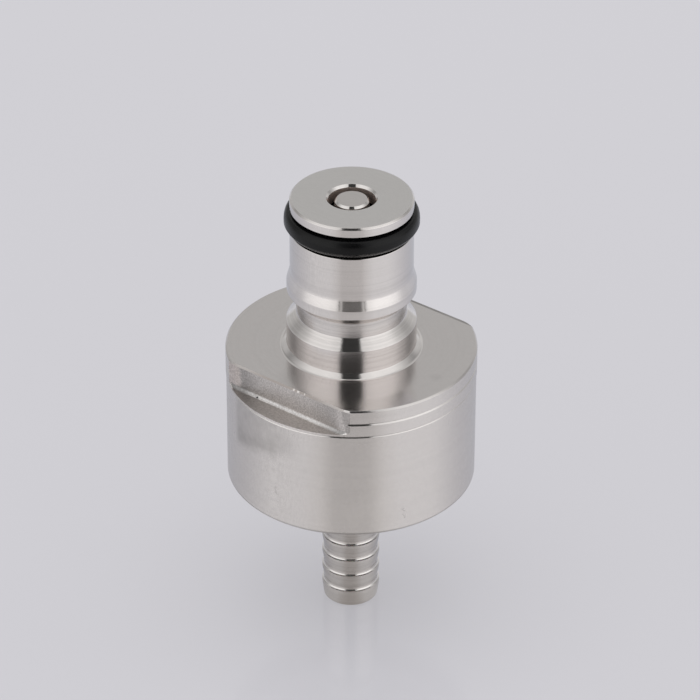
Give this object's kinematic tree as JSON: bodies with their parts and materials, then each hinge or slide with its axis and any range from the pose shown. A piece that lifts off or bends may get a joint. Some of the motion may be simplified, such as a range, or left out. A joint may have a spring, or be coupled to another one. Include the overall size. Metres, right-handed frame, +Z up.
{
  "type": "carbonation cap",
  "caption": "Turned steel screw cap for a drink bottle, with a ball-lock post, poppet valve and O-ring on top and a hose barb below.",
  "frame": {"origin": "centre of the lower end of the hose barb, on the cap's axis", "axes": "+Z up the cap's axis towards the post's top; the two wrench flats face -Y and +Y"},
  "size_m": [0.032, 0.032, 0.0602],
  "materials": {
    "turned_steel": "fine turned stainless steel, satin with bright edges",
    "pin_steel": "faced stainless steel",
    "spring_steel": "drawn spring wire",
    "black_rubber": "smooth moulded rubber",
    "white_acetal": "moulded, matt",
    "clear_silicone": "translucent white silicone, matt"
  },
  "bodies": {
    "cap": {"cap_body": "turned_steel", "post_o_ring": "black_rubber", "poppet_spring": "spring_steel", "poppet_guide": "white_acetal", "barb_fitting": "turned_steel", "barb_o_ring": "black_rubber", "bottle_gasket": "clear_silicone"},
    "poppet": {"poppet_stem": "pin_steel", "poppet_seal": "black_rubber"}
  },
  "joints": [
    {"name": "poppet_slide", "type": "slide", "parent": "cap", "child": "poppet", "axis": [0, 0, -1], "range_m": [0, 0.0025], "stiffness_N_per_m": 800, "springref_m": -0.003, "deforming": ["poppet_spring"]}
  ]
}
